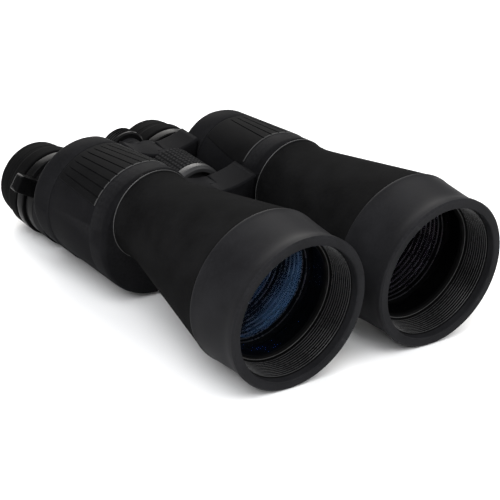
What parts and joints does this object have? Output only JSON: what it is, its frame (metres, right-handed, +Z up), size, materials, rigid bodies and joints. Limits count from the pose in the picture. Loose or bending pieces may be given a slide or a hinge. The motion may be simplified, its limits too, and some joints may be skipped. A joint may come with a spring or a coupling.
{
  "type": "binoculars",
  "caption": "Porro-prism astronomy binoculars with large flared objective bells, a folding centre hinge, a knurled focus wheel, zoom eyepieces and rubber eyecups.",
  "frame": {"origin": "mouth of the tripod socket, on the axis of the centre hinge", "axes": "+Y along the optical axes from the objectives to the eyepieces, +Z up, +X to the left half as held by the user"},
  "size_m": [0.1672, 0.2325, 0.0933],
  "materials": {
    "bell_armour": "satin moulded armour",
    "barrel_coat": "matte wrinkle coat",
    "body_armour": "satin moulded armour",
    "grip_rubber": "fine-ribbed rubber",
    "eyecup_rubber": "soft matte rubber",
    "wheel_satin": "satin moulded plastic",
    "gloss_black": "polished moulded plastic",
    "blackened_alloy": "black anodised",
    "screw_steel": "blackened steel",
    "nylon": "low-friction washer",
    "coated_glass": "blue-violet anti-reflection coating",
    "clear_glass": "clear",
    "prism_glass": "polished"
  },
  "bodies": {
    "left_half": {"left_objective_bell": "bell_armour", "left_objective_cell": "blackened_alloy", "left_retaining_ring": "blackened_alloy", "left_objective_lens": "coated_glass", "left_barrel_tube": "barrel_coat", "left_baffle_tube": "blackened_alloy", "left_prism_housing": "body_armour", "left_grip_panel": "grip_rubber", "left_prism_shelf": "blackened_alloy", "left_rear_prism": "prism_glass", "left_front_prism": "prism_glass", "left_cover_screws": "screw_steel", "left_front_cover": "body_armour", "left_rear_cover": "body_armour", "tripod_socket": "screw_steel", "hinge_shaft": "screw_steel", "hinge_washers": "nylon", "hinge_sleeve": "body_armour"},
    "right_half": {"right_objective_bell": "bell_armour", "right_objective_cell": "blackened_alloy", "right_retaining_ring": "blackened_alloy", "right_objective_lens": "coated_glass", "right_barrel_tube": "barrel_coat", "right_baffle_tube": "blackened_alloy", "right_prism_housing": "body_armour", "right_grip_panel": "grip_rubber", "right_prism_shelf": "blackened_alloy", "right_rear_prism": "prism_glass", "right_front_prism": "prism_glass", "right_cover_screws": "screw_steel", "right_front_cover": "body_armour", "right_rear_cover": "body_armour"},
    "focus_wheel": {"focus_wheel_hub": "wheel_satin", "focus_wheel_grip": "grip_rubber"},
    "left_eyepiece": {"left_eyepiece_barrel": "blackened_alloy", "left_zoom_cell": "blackened_alloy", "left_zoom_lens": "clear_glass", "left_field_lens": "clear_glass", "left_bridge_arm": "body_armour", "focus_spindle": "screw_steel", "bridge_cap": "gloss_black", "left_diopter_ring": "gloss_black", "left_ocular_cell": "gloss_black", "left_eye_lens": "coated_glass", "left_eyecup": "eyecup_rubber"},
    "right_eyepiece": {"right_eyepiece_barrel": "blackened_alloy", "right_zoom_cell": "blackened_alloy", "right_zoom_lens": "clear_glass", "right_field_lens": "clear_glass", "right_bridge_arm": "body_armour"},
    "left_zoom": {"left_zoom_ring": "gloss_black"},
    "right_zoom": {"right_zoom_ring": "gloss_black", "zoom_lever": "gloss_black"},
    "diopter": {"right_diopter_ring": "gloss_black"},
    "right_ocular": {"right_ocular_cell": "gloss_black", "right_eye_lens": "coated_glass", "right_eyecup": "eyecup_rubber"}
  },
  "joints": [
    {"name": "hinge_fold", "type": "hinge", "parent": "left_half", "child": "right_half", "pos_m": [0, 0.03, 0], "axis": [0, 1, 0], "range_deg": [-36, 0]},
    {"name": "focus_turn", "type": "hinge", "parent": "left_half", "child": "focus_wheel", "pos_m": [0, 0.04, 0], "axis": [0, 1, 0], "range_deg": [-170, 170]},
    {"name": "left_focus_slide", "type": "slide", "parent": "left_half", "child": "left_eyepiece", "axis": [0, 1, 0], "range_m": [-0.0034, 0.0034]},
    {"name": "right_focus_slide", "type": "slide", "parent": "right_half", "child": "right_eyepiece", "axis": [0, 1, 0], "range_m": [-0.0035, 0.0035]},
    {"name": "zoom_turn", "type": "hinge", "parent": "right_eyepiece", "child": "right_zoom", "pos_m": [-0.0366, 0.094, -0.0206], "axis": [0, 1, 0], "range_deg": [-70, 0]},
    {"name": "left_zoom_turn", "type": "hinge", "parent": "left_eyepiece", "child": "left_zoom", "pos_m": [0.0366, 0.094, -0.0206], "axis": [0, 1, 0], "range_deg": [-71, 1]},
    {"name": "diopter_turn", "type": "hinge", "parent": "right_eyepiece", "child": "diopter", "pos_m": [-0.0366, 0.1, -0.0206], "axis": [0, 1, 0], "range_deg": [-60, 60]},
    {"name": "right_ocular_slide", "type": "slide", "parent": "right_eyepiece", "child": "right_ocular", "axis": [0, 1, 0], "range_m": [-0.0014, 0.0014]}
  ],
  "couplings": [
    {"joint": "focus_turn", "follows": "left_focus_slide", "rad_per_m": 872.6},
    {"joint": "right_focus_slide", "follows": "left_focus_slide", "ratio": 1},
    {"joint": "left_zoom_turn", "follows": "zoom_turn", "ratio": 1},
    {"joint": "diopter_turn", "follows": "right_ocular_slide", "rad_per_m": 747.9}
  ]
}
